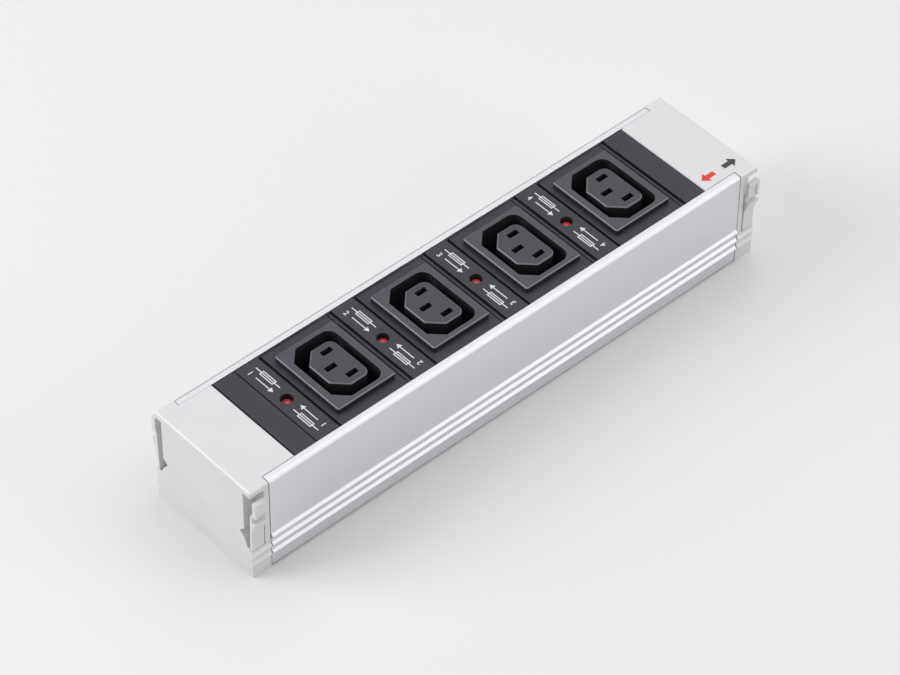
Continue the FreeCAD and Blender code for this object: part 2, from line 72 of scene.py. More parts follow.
# Studio: sky, floor, and lamps as name, place, side of the square and watts
sky_colour = (0.98, 0.985, 1.0, 1.0)
sky_strength = 0.36
floor_colour = (0.80, 0.80, 0.80, 1.0)
floor_reach = 4.0
floor_roughness = 0.6
softboxes = (
    ("overhead", (0.48, 0.10, 1.50), 2.2, 17.5),
    ("end_key", (-1.12, 0.78, 0.74), 0.9, 12.5),
    ("front_fill", (0.61, -1.04, 0.50), 0.8, 3.4),
)

# Colours of the finishes, as linear red, green, blue and alpha
aluminium_colour = (0.77, 0.77, 0.79, 1.0)
cap_colour = (0.70, 0.70, 0.71, 1.0)
strip_colour = (0.046, 0.045, 0.053, 1.0)
bezel_colour = (0.073, 0.075, 0.086, 1.0)
core_colour = (0.060, 0.062, 0.071, 1.0)
# Painted shade: the near-black put on upright walls and in the wells of the fascia
painted_shade_colour = (0.026, 0.026, 0.028, 1.0)
insulator_colour = (0.020, 0.020, 0.022, 1.0)
button_colour = (0.62, 0.060, 0.080, 1.0)
brass_colour = (0.78, 0.62, 0.33, 1.0)
zinc_colour = (0.68, 0.69, 0.70, 1.0)
white_ink_colour = (0.74, 0.74, 0.76, 1.0)
black_ink_colour = (0.050, 0.050, 0.053, 1.0)
red_ink_colour = (0.80, 0.045, 0.030, 1.0)

# Extruded aluminium: die lines under a satin blast. Tints and lifts multiply a colour.
die_line_width = 0.30 * MM
die_line_length = 60 * MM
die_line_detail = 3.0
die_line_depth = 0.004 * MM
blast_size = 0.25 * MM
blast_detail = 2.0
blast_share = 0.5
aluminium_tints = (0.95, 1.04)
aluminium_roughness = (0.44, 0.55)
aluminium_edge = 0.25 * MM
# Paler edges stand for wear and a painted highlight; paler rib slopes are a painted highlight
aluminium_edge_wear_and_highlight = 1.12
aluminium_slope_highlight = 1.06

# Moulded plastic: fine grain over a slow mottle; edges painted paler for wear and a painted highlight,
# and outer slopes painted paler as a painted highlight
plastic_grain = 0.35 * MM
plastic_mottle = 12 * MM
grain_detail = 2.0
mottle_detail = 3.0
plastic_slope_highlight = 1.16
dull_specular = 0.3

# Outer slopes of metal and plastic, such as those of ribs and rounded edges, get a painted highlight. A
# rise is the upward part of a face's normal, and its spread says how far that may differ.
slope_rise = 0.707
slope_spread = 0.24

# Dark fascia: mottled tops; upright walls and wells painted black as painted shade; chamfers painted
# paler as a painted highlight, and smoother.
# The wall's two rises are where a face starts to count as a wall, and where it is one.
# Below this depth under the bezel top, faces are painted black as painted shade
well_depth = 3.0 * MM
fascia_tints = (0.90, 1.08)
fascia_roughness_spread = (-0.05, 0.06)
fascia_grain_depth = 0.016 * MM
wall_rise = (0.55, 0.35)
chamfer_rise = 0.707
chamfer_spread = 0.12
chamfer_polish = 0.12

# Softened edges: the cosine between the rounded normal and the flat one, from none to the full paler
# edge, which stands for wear and a painted highlight
edge_samples = 6
edge_wear_and_highlight_turn = (0.98, 0.80)

# Printing on the fuse strips: two rows on each side of the button, measured from the button's middle
ink_thickness = 0.03 * MM
ink_line = 0.45 * MM
ink_weld = ink_thickness / 10
row_offset = 1.6 * MM
row_height = 2.3 * MM
row_far = 19.0 * MM
row_near = 5.6 * MM
fuse_body_length = 6.4 * MM
pointer_tail = 15.2 * MM
pointer_head = 1.35 * MM
digit_size = 3.25 * MM
digit_weight = 0.05 * MM
digit_curve_steps = 6

# Flow arrows on the right cap's plate
arrow_row_y = -18.05 * MM
arrow_length = 6.7 * MM
arrow_head_length = 2.9 * MM
arrow_head_width = 5.3 * MM
arrow_shaft_width = 2.2 * MM
supply_tail_x = 115.0 * MM
return_tail_x = 110.4 * MM

# Reset buttons and their springs
button_collar_height = 1.2 * MM
button_radius = 2.2 * MM
button_round = 0.9 * MM
button_round_steps = 6
button_crown = 0.35 * MM
button_crown_steps = 4
button_sides = 48
button_coat = 0.3
spring_wire = 0.5 * MM
spring_wire_sides = 12
spring_turns = 3.0
spring_turn_steps = 40

# Plug screws: the dome is given as shares of the head's radius and height
screw_count = 2
screw_head_height = 2.0 * MM
screw_shank_radius = 1.5 * MM
screw_sides = 40
screw_dome = ((0.46, 1.0), (0.72, 0.93), (0.90, 0.75), (1.0, 0.45))
screw_recess_length = 3.2 * MM
screw_recess_width = 0.7 * MM
screw_recess_depth = 1.1 * MM


class Tree:
    """A node tree under construction: adds nodes, and joins or sets their sockets."""

    def __init__(self, tree):
        self.tree = tree

    def add(self, kind, **values):
        """A new node with its properties set."""
        node = self.tree.nodes.new(kind)
        for name, value in values.items():
            setattr(node, name, value)
        return node

    def join(self, source, target):
        self.tree.links.new(source, target)

    def feed(self, socket, value):
        """Join a socket to another one, or set it to a plain value."""
        if isinstance(value, bpy.types.NodeSocket):
            self.join(value, socket)
        else:
            socket.default_value = value

    def math(self, operation, *values):
        node = self.add("ShaderNodeMath", operation=operation)
        for socket, value in zip(node.inputs, values):
            self.feed(socket, value)
        return node.outputs["Value"]

    def half(self, value):
        return self.math("MULTIPLY", value, 0.5)

    def middle(self, first, second):
        return self.half(self.math("ADD", first, second))

    def minus(self, value):
        return self.math("MULTIPLY", value, -1.0)

    def close_to(self, value, centre, spread):
        """1 where a value is within a spread of a centre, and 0 elsewhere."""
        gap = self.math("ABSOLUTE", self.math("SUBTRACT", value, centre))
        return self.math("LESS_THAN", gap, spread)

    def remap(self, value, start, end, low=0.0, high=1.0):
        """From low to high as a value goes from start to end, clamped."""
        node = self.add("ShaderNodeMapRange")
        self.feed(node.inputs["Value"], value)
        node.inputs["From Min"].default_value = start
        node.inputs["From Max"].default_value = end
        node.inputs["To Min"].default_value = low
        node.inputs["To Max"].default_value = high
        return node.outputs["Result"]

    def vector(self, x, y, z):
        node = self.add("ShaderNodeCombineXYZ")
        for socket, value in zip(node.inputs, (x, y, z)):
            self.feed(socket, value)
        return node.outputs["Vector"]

    def split(self, vector):
        node = self.add("ShaderNodeSeparateXYZ")
        self.join(vector, node.inputs["Vector"])
        return node.outputs

    def object_place(self):
        return self.add("ShaderNodeTexCoord").outputs["Object"]

    def noise(self, place, scale, detail):
        node = self.add("ShaderNodeTexNoise", noise_dimensions="3D")
        self.join(place, node.inputs["Vector"])
        self.feed(node.inputs["Scale"], scale)
        node.inputs["Detail"].default_value = detail
        return node.outputs["Fac"]


def shader_group(name, inputs, outputs):
    """A shader node group with named float inputs and named outputs."""
    tree = bpy.data.node_groups.new(name, "ShaderNodeTree")
    for label, value in inputs.items():
        socket = tree.interface.new_socket(label, in_out="INPUT", socket_type="NodeSocketFloat")
        socket.default_value = value
    for label, kind in outputs.items():
        tree.interface.new_socket(label, in_out="OUTPUT", socket_type=kind)
    build = Tree(tree)
    return build, build.add("NodeGroupInput").outputs, build.add("NodeGroupOutput").inputs


def moulded_grain_group():
    """Fine spark-eroded mould grain, with a slow mottle for colour and gloss."""
    build, given, result = shader_group(
        "moulded_grain", {"Grain Size": plastic_grain, "Mottle Size": plastic_mottle},
        {"Height": "NodeSocketFloat", "Mottle": "NodeSocketFloat"})
    place = build.object_place()
    grain_scale = build.math("DIVIDE", 1.0, given["Grain Size"])
    mottle_scale = build.math("DIVIDE", 1.0, given["Mottle Size"])
    build.join(build.noise(place, grain_scale, grain_detail), result["Height"])
    build.join(build.noise(place, mottle_scale, mottle_detail), result["Mottle"])
    return build.tree


def drawn_lines_group():
    """Die lines that run along the bar on an extrusion, with a fine satin blast over them."""
    build, given, result = shader_group(
        "drawn_lines",
        {"Line Width": die_line_width, "Line Length": die_line_length, "Blast Size": blast_size},
        {"Height": "NodeSocketFloat", "Streak": "NodeSocketFloat"})
    place = build.object_place()
    along = build.split(place)
    stretched = build.vector(build.math("DIVIDE", along["X"], given["Line Length"]),
                             build.math("DIVIDE", along["Y"], given["Line Width"]),
                             build.math("DIVIDE", along["Z"], given["Line Width"]))
    streak = build.noise(stretched, 1.0, die_line_detail)
    blast = build.noise(place, build.math("DIVIDE", 1.0, given["Blast Size"]), blast_detail)
    height = build.math("ADD", streak, build.math("MULTIPLY", blast, blast_share))
    build.join(height, result["Height"])
    build.join(streak, result["Streak"])
    return build.tree


def soft_edge_group():
    """Rounds the shading of sharp edges, and marks them to be painted paler, for wear and as a painted
    highlight.
    """
    build, given, result = shader_group(
        "soft_edge", {"Radius": 0.0}, {"Normal": "NodeSocketVector", "Edge": "NodeSocketFloat"})
    rounded = build.add("ShaderNodeBevel", samples=edge_samples)
    build.join(given["Radius"], rounded.inputs["Radius"])
    flat = build.add("ShaderNodeNewGeometry")
    match = build.add("ShaderNodeVectorMath", operation="DOT_PRODUCT")
    build.join(rounded.outputs["Normal"], match.inputs[0])
    build.join(flat.outputs["Normal"], match.inputs[1])
    build.join(rounded.outputs["Normal"], result["Normal"])
    build.join(build.remap(match.outputs["Value"], *edge_wear_and_highlight_turn), result["Edge"])
    return build.tree


def sunk_group():
    """Masks upright walls and all below a floor height for painted shade, and sloping chamfers for a
    painted highlight.
    """
    build, given, result = shader_group(
        "shade_and_highlight_faces",
        {"Floor Height": 0.0, "Chamfer Rise": chamfer_rise, "Chamfer Spread": chamfer_spread},
        {"Painted Shade": "NodeSocketFloat", "Painted Highlight": "NodeSocketFloat"})
    rise = build.split(build.add("ShaderNodeNewGeometry").outputs["Normal"])["Z"]
    height = build.split(build.object_place())["Z"]
    # Upright walls and deep faces, to be painted black as painted shade
    wall = build.remap(rise, *wall_rise)
    deep = build.math("LESS_THAN", height, given["Floor Height"])
    build.join(build.math("MAXIMUM", wall, deep), result["Painted Shade"])
    # Sloping chamfers, to be painted paler as a painted highlight
    painted_highlight = build.close_to(rise, given["Chamfer Rise"], given["Chamfer Spread"])
    build.join(painted_highlight, result["Painted Highlight"])
    return build.tree


def outer_slope_group():
    """Masks rounded edges and slopes that face up and away from the bar's middle for a painted
    highlight.
    """
    build, given, result = shader_group(
        "slope_highlights", {"Slope Rise": slope_rise, "Slope Spread": slope_spread},
        {"Painted Highlight": "NodeSocketFloat"})
    facing = build.split(build.add("ShaderNodeNewGeometry").outputs["Normal"])
    place = build.split(build.object_place())
    away = build.math("ADD", build.math("MULTIPLY", facing["X"], place["X"]),
                      build.math("MULTIPLY", facing["Y"], place["Y"]))
    outward = build.math("GREATER_THAN", away, 0.0)
    sloping = build.close_to(facing["Z"], given["Slope Rise"], given["Slope Spread"])
    build.join(build.math("MULTIPLY", outward, sloping), result["Painted Highlight"])
    return build.tree


GRAIN = moulded_grain_group()
DRAWN = drawn_lines_group()
SOFT_EDGE = soft_edge_group()
SHADE_AND_HIGHLIGHT = sunk_group()
SLOPE_HIGHLIGHT = outer_slope_group()


def scaled(colour, factor):
    return tuple(channel * factor for channel in colour[:3]) + (1.0,)


class Finish:
    """One material with its shader, and the shared groups that feed it."""

    def __init__(self, name, metallic=0.0, specular=0.5):
        self.material = bpy.data.materials.new(name)
        self.material.use_nodes = True
        self.build = Tree(self.material.node_tree)
        self.shader = self.material.node_tree.nodes["Principled BSDF"]
        self.shader.inputs["Metallic"].default_value = metallic
        self.shader.inputs["Specular IOR Level"].default_value = specular

    def group(self, tree, **values):
        """The outputs of a shared group, placed with this finish's own values."""
        node = self.build.add("ShaderNodeGroup", node_tree=tree)
        for label, value in values.items():
            node.inputs[label.replace("_", " ")].default_value = value
        return node.outputs

    def between(self, mask, low, high):
        """A value that follows a 0 to 1 mask from low to high."""
        return self.build.remap(mask, 0.0, 1.0, low, high)

    def blend(self, mask, first, second):
        """A colour that follows a 0 to 1 mask from the first colour to the second."""
        node = self.build.add("ShaderNodeMix", data_type="RGBA")
        self.build.feed(node.inputs["Factor"], mask)
        colours = [socket for socket in node.inputs if socket.type == "RGBA"]
        self.build.feed(colours[0], first)
        self.build.feed(colours[1], second)
        return next(socket for socket in node.outputs if socket.type == "RGBA")

    def tinted(self, mask, colour, tints):
        """A colour that follows a 0 to 1 mask from its first tint to its second."""
        return self.blend(mask, *(scaled(colour, tint) for tint in tints))

    def bump(self, height, normal, distance):
        node = self.build.add("ShaderNodeBump")
        self.build.join(height, node.inputs["Height"])
        self.build.join(normal, node.inputs["Normal"])
        node.inputs["Distance"].default_value = distance
        self.build.join(node.outputs["Normal"], self.shader.inputs["Normal"])

    def set(self, label, value):
        self.build.feed(self.shader.inputs[label], value)


def satin_aluminium():
    """Anodised extrusion: streaks along the bar, edges painted brighter for wear and a painted
    highlight, and the slopes of ribs painted brighter as a painted highlight.
    """
    finish = Finish("satin_aluminium", metallic=1.0)
    drawn = finish.group(DRAWN)
    edge = finish.group(SOFT_EDGE, Radius=aluminium_edge)
    slope = finish.group(SLOPE_HIGHLIGHT)
    shade = finish.tinted(drawn["Streak"], aluminium_colour, aluminium_tints)
    # Painted highlight on the upward outer slopes of ribs and rounded edges
    shade = finish.blend(slope["Painted Highlight"], shade, scaled(aluminium_colour, aluminium_slope_highlight))
    # Paler edges: wear and a painted highlight
    shade = finish.blend(edge["Edge"], shade, scaled(aluminium_colour, aluminium_edge_wear_and_highlight))
    finish.set("Base Color", shade)
    finish.set("Roughness", finish.between(drawn["Streak"], *aluminium_roughness))
    finish.bump(drawn["Height"], edge["Normal"], die_line_depth)
    return finish.material


def grained_finish(name, colour, tints, roughness, grain_size, mottle_size, grain_depth, edge_radius,
                   edge_wear_and_highlight=None, metallic=0.0):
    """Fine grain, a slow mottle of colour and gloss, and edges and outer slopes that can be painted
    paler: edges for wear and a painted highlight, slopes as a painted highlight.
    """
    finish = Finish(name, metallic=metallic)
    grain = finish.group(GRAIN, Grain_Size=grain_size, Mottle_Size=mottle_size)
    edge = finish.group(SOFT_EDGE, Radius=edge_radius)
    shade = finish.tinted(grain["Mottle"], colour, tints)
    if edge_wear_and_highlight:
        slope = finish.group(SLOPE_HIGHLIGHT)
        # Painted highlight on upward outer slopes
        shade = finish.blend(slope["Painted Highlight"], shade, scaled(colour, plastic_slope_highlight))
        # Paler edges: wear and a painted highlight
        shade = finish.blend(edge["Edge"], shade, scaled(colour, edge_wear_and_highlight))
    finish.set("Base Color", shade)
    finish.set("Roughness", finish.between(grain["Mottle"], *roughness))
    finish.bump(grain["Height"], edge["Normal"], grain_depth)
    return finish


def moulded_plastic(name, colour, roughness, grain_depth, edge_radius, edge_wear_and_highlight):
    """Moulded plastic: mould grain, with edges painted a little paler for wear and a painted highlight,
    and outer slopes as a painted highlight.
    """
    return grained_finish(name, colour, tints=(0.94, 1.05), roughness=roughness,
                          grain_size=plastic_grain, mottle_size=plastic_mottle,
                          grain_depth=grain_depth, edge_radius=edge_radius,
                          edge_wear_and_highlight=edge_wear_and_highlight).material


def bright_metal(name, colour, roughness):
    """Rolled or plated metal, slightly tarnished."""
    return grained_finish(name, colour, tints=(0.85, 1.0), roughness=roughness,
                          grain_size=0.30 * MM, mottle_size=2 * MM, grain_depth=0.003 * MM,
                          edge_radius=0.15 * MM, metallic=1.0).material


def printed_ink(name, colour):
    """Pad-printed ink that thins a little over the grain below it."""
    return grained_finish(name, colour, tints=(0.86, 1.0), roughness=(0.45, 0.60),
                          grain_size=0.30 * MM, mottle_size=1.2 * MM, grain_depth=0.004 * MM,
                          edge_radius=0.02 * MM).material


def gloss_red():
    """Polished plastic under a thin clear gloss."""
    finish = grained_finish("gloss_red", button_colour, tints=(0.85, 1.0), roughness=(0.20, 0.30),
                            grain_size=0.80 * MM, mottle_size=3 * MM, grain_depth=0.004 * MM,
                            edge_radius=0.20 * MM)
    finish.set("Coat Weight", button_coat)
    return finish.material


def fascia_plastic(name, colour, roughness, edge_radius, edge_wear_and_highlight, floor_height=0.0):
    """Dark moulded plastic: grained and mottled on top, painted black as painted shade on its walls and
    below a floor, with chamfers painted paler as a painted highlight.
    """
    finish = Finish(name, specular=dull_specular)
    grain = finish.group(GRAIN, Grain_Size=plastic_grain)
    edge = finish.group(SOFT_EDGE, Radius=edge_radius)
    painted = finish.group(SHADE_AND_HIGHLIGHT, Floor_Height=floor_height)
    mottled = finish.tinted(grain["Mottle"], colour, fascia_tints)
    # Edges and chamfers painted paler: a painted highlight, with some wear on the edges
    painted_highlight = finish.build.math("MAXIMUM", edge["Edge"], painted["Painted Highlight"])
    top = finish.blend(painted_highlight, mottled, scaled(colour, edge_wear_and_highlight))
    # Walls and wells painted black: painted shade
    finish.set("Base Color", finish.blend(painted["Painted Shade"], top, painted_shade_colour))
    smooth, rough = (roughness + spread for spread in fascia_roughness_spread)
    grained = finish.between(grain["Mottle"], smooth, rough)
    polish = finish.between(painted["Painted Highlight"], 0.0, chamfer_polish)
    finish.set("Roughness", finish.build.math("SUBTRACT", grained, polish))
    finish.bump(grain["Height"], edge["Normal"], fascia_grain_depth)
    return finish.material


# Height below which the outlet's faces are painted black as painted shade
well_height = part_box("outlet_frame_1")[1].z - well_depth
ALUMINIUM = satin_aluminium()
# Edge lifts below paint edges paler, for wear and as a painted highlight
CAP = moulded_plastic("cap_plastic", cap_colour, roughness=(0.38, 0.47), grain_depth=0.008 * MM,
                      edge_radius=0.40 * MM, edge_wear_and_highlight=1.30)
INSULATOR = moulded_plastic("insulator_plastic", insulator_colour, roughness=(0.46, 0.55),
                            grain_depth=0.010 * MM, edge_radius=0.25 * MM, edge_wear_and_highlight=1.5)
STRIP = fascia_plastic("strip_plastic", strip_colour, roughness=0.50, edge_radius=0.20 * MM,
                       edge_wear_and_highlight=1.5)
BEZEL = fascia_plastic("bezel_plastic", bezel_colour, roughness=0.42, edge_radius=0.40 * MM,
                       edge_wear_and_highlight=3.0, floor_height=well_height)
CORE = fascia_plastic("core_plastic", core_colour, roughness=0.44, edge_radius=0.30 * MM,
                      edge_wear_and_highlight=3.0, floor_height=well_height)
BUTTON = gloss_red()
BRASS = bright_metal("brass_strip", brass_colour, roughness=(0.22, 0.36))
ZINC = bright_metal("zinc_screw", zinc_colour, roughness=(0.28, 0.42))
SPRING = bright_metal("spring_steel", zinc_colour, roughness=(0.24, 0.38))
WHITE_INK = printed_ink("white_ink", white_ink_colour)
BLACK_INK = printed_ink("black_ink", black_ink_colour)
RED_INK = printed_ink("red_ink", red_ink_colour)
FINISHES = {
    "aluminium_profile": ALUMINIUM, "cap_plastic": CAP, "fascia_plastic": STRIP,
    "outlet_plastic": BEZEL, "insulator_plastic": INSULATOR, "button_red": BUTTON,
    "brass_strip": BRASS, "screw_steel": ZINC, "spring_steel": SPRING,
}


def dress_nodes():
    """Give every node of the frame the finish of its record slot, and contact blocks their own."""
    slots = {part["node"]: part["material_slot"] for part in frame["record"]["subparts"]}
    for name, node in frame["nodes"].items():
        finish = CORE if name.startswith("outlet_core") else FINISHES[slots[name]]
        node.data.materials.clear()
        node.data.materials.append(finish)


def linked(name, data):
    """A new object of the scene."""
    item = bpy.data.objects.new(name, data)
    bpy.context.scene.collection.objects.link(item)
    return item


def new_piece(name, mesh, body):
    """A finished mesh as a piece that moves with a body."""
    piece = linked(name, mesh)
    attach(piece, body)
    return piece


def box_middle(node):
    low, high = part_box(node)
    return (low + high) / 2


def turned_mesh(name, profile, centre, sides):
    """A closed round shape from (radius, height) points, from the axis upwards and back to the axis."""
    shell = bmesh.new()
    rings = []
    for radius, height in profile:
        if radius == 0:
            rings.append([shell.verts.new((centre.x, centre.y, height))])
            continue
        angles = [2 * math.pi * side / sides for side in range(sides)]
        rings.append([shell.verts.new((centre.x + radius * math.cos(angle),
                                       centre.y + radius * math.sin(angle), height))
                      for angle in angles])
    for low, high in zip(rings, rings[1:]):
        for side in range(sides):
            after = (side + 1) % sides
            corners = (low[side % len(low)], low[after % len(low)],
                       high[after % len(high)], high[side % len(high)])
            shell.faces.new(list(dict.fromkeys(corners)))
    bmesh.ops.recalc_face_normals(shell, faces=shell.faces)
    mesh = bpy.data.meshes.new(name)
    shell.to_mesh(mesh)
    shell.free()
    mesh.shade_smooth()
    mesh.set_sharp_from_angle(angle=crease_angle)
    return mesh


def reset_buttons():
    """Domed gloss buttons with a rolled rim, each on its own travelling body."""
    for outlet in OUTLETS:
        node = f"reset_button_{outlet}"
        low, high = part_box(node)
        collar_radius = (high.x - low.x) / 2
        collar_top = low.z + button_collar_height
        profile = [(0, low.z), (collar_radius, low.z),
                   (collar_radius, collar_top), (button_radius, collar_top)]
        flat_radius = button_radius - button_round
        rim_z = high.z - button_crown - button_round
        for step in range(button_round_steps + 1):
            angle = math.pi / 2 * step / button_round_steps
            profile.append((flat_radius + button_round * math.cos(angle),
                            rim_z + button_round * math.sin(angle)))
        for step in range(1, button_crown_steps + 1):
            share = 1 - step / button_crown_steps
            profile.append((flat_radius * share, high.z - button_crown * share ** 2))
        mesh = turned_mesh(f"button_cap_{outlet}", profile, box_middle(node), button_sides)
        mesh.materials.append(BUTTON)
        piece = new_piece(f"button_cap_{outlet}", mesh, node)
        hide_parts(node)


def geometry_group(name, sizes, takes_blank=False):
    """A geometry tree with named sizes and a finish, that starts from nothing or from a blank."""
    tree = bpy.data.node_groups.new(name, "GeometryNodeTree")
    if takes_blank:
        tree.interface.new_socket("Blank", in_out="INPUT", socket_type="NodeSocketGeometry")
    for label in sizes:
        tree.interface.new_socket(label, in_out="INPUT", socket_type="NodeSocketFloat")
    tree.interface.new_socket("Finish", in_out="INPUT", socket_type="NodeSocketMaterial")
    tree.interface.new_socket("Geometry", in_out="OUTPUT", socket_type="NodeSocketGeometry")
    build = Tree(tree)
    return build, build.add("NodeGroupInput").outputs, build.add("NodeGroupOutput").inputs


def finish_group(build, given, result, shape):
    """Turn instances into plain faces of one finish."""
    real = build.add("GeometryNodeRealizeInstances")
    build.join(shape, real.inputs["Geometry"])
    dressed = build.add("GeometryNodeSetMaterial")
    build.join(real.outputs["Geometry"], dressed.inputs["Geometry"])
    build.join(given["Finish"], dressed.inputs["Material"])
    build.join(dressed.outputs["Geometry"], result["Geometry"])
    return build.tree


def moved(build, shape, place, turn=(0, 0, 0)):
    node = build.add("GeometryNodeTransform")
    build.join(shape, node.inputs["Geometry"])
    build.feed(node.inputs["Translation"], place)
    build.feed(node.inputs["Rotation"], turn)
    return node.outputs["Geometry"]


def box_shape(build, size, place):
    node = build.add("GeometryNodeMeshCube")
    build.feed(node.inputs["Size"], size)
    return moved(build, node.outputs["Mesh"], place)


def joined(build, shapes):
    node = build.add("GeometryNodeJoinGeometry")
    for shape in shapes:
        build.join(shape, node.inputs["Geometry"])
    return node.outputs["Geometry"]


def placed_along(build, shape, count, start, step):
    """Copies of a shape at equal steps."""
    line = build.add("GeometryNodeMeshLine")
    line.inputs["Count"].default_value = count
    build.feed(line.inputs["Start Location"], start)
    build.feed(line.inputs["Offset"], step)
    node = build.add("GeometryNodeInstanceOnPoints")
    build.join(line.outputs["Mesh"], node.inputs["Points"])
    build.join(shape, node.inputs["Instance"])
    return node.outputs["Instances"]


def plain_mesh(holder):
    """What an object looks like with its modifiers or text worked out. The object itself goes."""
    graph = bpy.context.evaluated_depsgraph_get()
    mesh = bpy.data.meshes.new_from_object(holder.evaluated_get(graph))
    holder.modifiers.clear()
    bpy.data.objects.remove(holder)
    return mesh


def mesh_from_group(name, tree, values, blank=None):
    """A plain mesh from a geometry tree with the given inputs, run on a blank where it takes one."""
    holder = linked(name, blank or bpy.data.meshes.new(name))
    modifier = holder.modifiers.new(name, "NODES")
    modifier.node_group = tree
    for socket in tree.interface.items_tree:
        if socket.in_out == "INPUT" and socket.name in values:
            modifier[socket.identifier] = values[socket.name]
    mesh = plain_mesh(holder)
    mesh.name = name
    return mesh


def strip_marks_group():
    """A fuse sign and a pointer to the button, printed both ways round on each fuse strip."""
    build, given, result = geometry_group("strip_marks", (
        "Pitch", "First X", "Surface", "Ink", "Line", "Row", "Height", "Far", "Near", "Body", "Tail",
        "Head"))
    ink, line, row = given["Ink"], given["Line"], given["Row"]
    half_ink = build.half(ink)
    middle = build.middle(given["Far"], given["Near"])
    lead_length = build.math("SUBTRACT", given["Far"], given["Near"])
    shapes = [box_shape(build, build.vector(line, lead_length, half_ink),
                        build.vector(row, middle, half_ink))]
    side_reach = build.half(build.math("SUBTRACT", given["Height"], line))
    end_reach = build.middle(given["Body"], line)
    for operation in ("ADD", "SUBTRACT"):
        side = build.vector(build.math(operation, row, side_reach), middle, half_ink)
        end = build.vector(row, build.math(operation, middle, end_reach), half_ink)
        shapes.append(box_shape(build, build.vector(line, given["Body"], ink), side))
        shapes.append(box_shape(build, build.vector(given["Height"], line, ink), end))
    pointer_row = build.minus(row)
    head = build.add("GeometryNodeMeshCylinder")
    head.inputs["Vertices"].default_value = 3
    build.join(given["Head"], head.inputs["Radius"])
    build.join(ink, head.inputs["Depth"])
    head_y = build.math("ADD", given["Near"], given["Head"])
    shapes.append(moved(build, head.outputs["Mesh"], build.vector(pointer_row, head_y, half_ink),
                        (0, 0, -math.pi / 2)))
    shaft_length = build.math("SUBTRACT", given["Tail"], head_y)
    shaft_y = build.middle(given["Tail"], head_y)
    shapes.append(box_shape(build, build.vector(line, shaft_length, half_ink),
                            build.vector(pointer_row, shaft_y, half_ink)))
    rear = joined(build, shapes)
    both = joined(build, [rear, moved(build, rear, (0, 0, 0), (0, 0, math.pi))])
    start = build.vector(given["First X"], 0.0, given["Surface"])
    step = build.vector(given["Pitch"], 0.0, 0.0)
    strips = placed_along(build, both, len(OUTLETS), start, step)
    return finish_group(build, given, result, strips)


def strip_surface():
    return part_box("fuse_strip_1")[1].z


def strip_marks():
    first_x = box_middle("reset_button_1").x
    mesh = mesh_from_group("strip_marks", strip_marks_group(), {
        "Pitch": box_middle("reset_button_2").x - first_x, "First X": first_x,
        "Surface": strip_surface(), "Ink": ink_thickness, "Line": ink_line, "Row": row_offset,
        "Height": row_height, "Far": row_far, "Near": row_near, "Body": fuse_body_length,
        "Tail": pointer_tail, "Head": pointer_head, "Finish": WHITE_INK})
    new_piece("strip_marks", mesh, "module")


def digit_mesh(digit):
    """A plain number as a thin solid, with its baseline through the origin."""
    curve = bpy.data.curves.new("digit", "FONT")
    curve.body = str(digit)
    curve.size = digit_size
    curve.extrude = ink_thickness / 2
    curve.offset = digit_weight
    curve.resolution_u = digit_curve_steps
    mesh = plain_mesh(linked("digit", curve))
    bpy.data.curves.remove(curve)
    return mesh


def outlet_numbers():
    """The outlet's number behind the tail of each pointer, both ways round."""
    baseline = (-row_offset - row_height / 2, row_far, ink_thickness / 2)
    reading = Matrix.Translation(baseline) @ Matrix.Rotation(-math.pi / 2, 4, "Z")
    sheet = bmesh.new()
    for outlet in OUTLETS:
        button = (box_middle(f"reset_button_{outlet}").x, 0, strip_surface())
        for turn in (0, math.pi):
            mesh = digit_mesh(outlet)
            mesh.transform(Matrix.Translation(button) @ Matrix.Rotation(turn, 4, "Z") @ reading)
            sheet.from_mesh(mesh)
            bpy.data.meshes.remove(mesh)
    bmesh.ops.remove_doubles(sheet, verts=sheet.verts, dist=ink_weld)
    bmesh.ops.recalc_face_normals(sheet, faces=sheet.faces)
    numbers = bpy.data.meshes.new("outlet_numbers")
    sheet.to_mesh(numbers)
    sheet.free()
    numbers.materials.append(WHITE_INK)
    new_piece("outlet_numbers", numbers, "module")


def printed_shape(name, outline, surface, ink):
    """A flat outline of (x, y) points, listed anticlockwise, as a thin layer of ink."""
    layer = bmesh.new()
    low = [layer.verts.new((x, y, surface)) for x, y in outline]
    high = [layer.verts.new((x, y, surface + ink_thickness)) for x, y in outline]
    layer.faces.new(high)
    layer.faces.new(reversed(low))
    for index in range(len(outline)):
        after = (index + 1) % len(outline)
        layer.faces.new((low[index], low[after], high[after], high[index]))
    mesh = bpy.data.meshes.new(name)
    layer.to_mesh(mesh)
    layer.free()
    mesh.materials.append(ink)
    new_piece(name, mesh, "module")


def flow_arrows():
    """Two plain arrows on the right plate, one each way along the bar."""
    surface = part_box("end_cap_right")[1].z
    neck = arrow_length - arrow_head_length
    shaft = arrow_shaft_width / 2
    head = arrow_head_width / 2
    points = ((0, -shaft), (neck, -shaft), (neck, -head), (arrow_length, 0),
              (neck, head), (neck, shaft), (0, shaft))
    for name, tail_x, way, ink in (("arrow_out", supply_tail_x, 1, BLACK_INK),
                                   ("arrow_in", return_tail_x, -1, RED_INK)):
        outline = [(tail_x + way * x, arrow_row_y + way * y) for x, y in points]
        printed_shape(name, outline, surface, ink)


